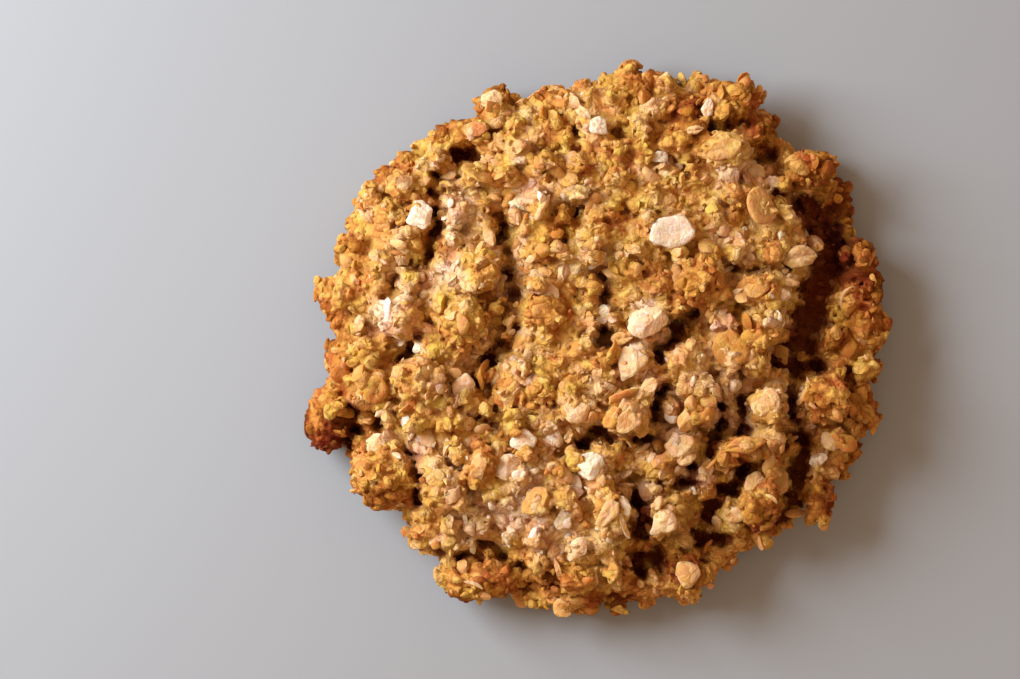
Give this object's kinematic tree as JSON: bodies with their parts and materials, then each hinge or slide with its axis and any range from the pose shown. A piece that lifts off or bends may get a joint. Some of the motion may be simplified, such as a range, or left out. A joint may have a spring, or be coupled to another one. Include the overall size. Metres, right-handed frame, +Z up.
{
  "type": "anzac biscuit",
  "caption": "Thick round biscuit of rolled oats, coconut and golden syrup, with a craggy cracked top, a broken rim and a flat underside to rest on; baked sweet food eaten from the hand.",
  "frame": {"origin": "middle of the biscuit's box on the plane of its flat underside", "axes": "+Z up through the thickness, +X to the right and +Y to the top of the reference picture"},
  "size_m": [0.0776, 0.0734, 0.0176],
  "materials": {
    "baked_crumb": "matte golden-brown baked oat crumb, darker in its cracks and redder where the syrup has toasted",
    "oat_flake": "matte pale rolled oat flake, cream to light tan",
    "coconut_shred": "matte to faintly waxy dried coconut, ivory to toasted tan"
  },
  "bodies": {
    "root": {"biscuit": "baked_crumb"}
  },
  "joints": []
}
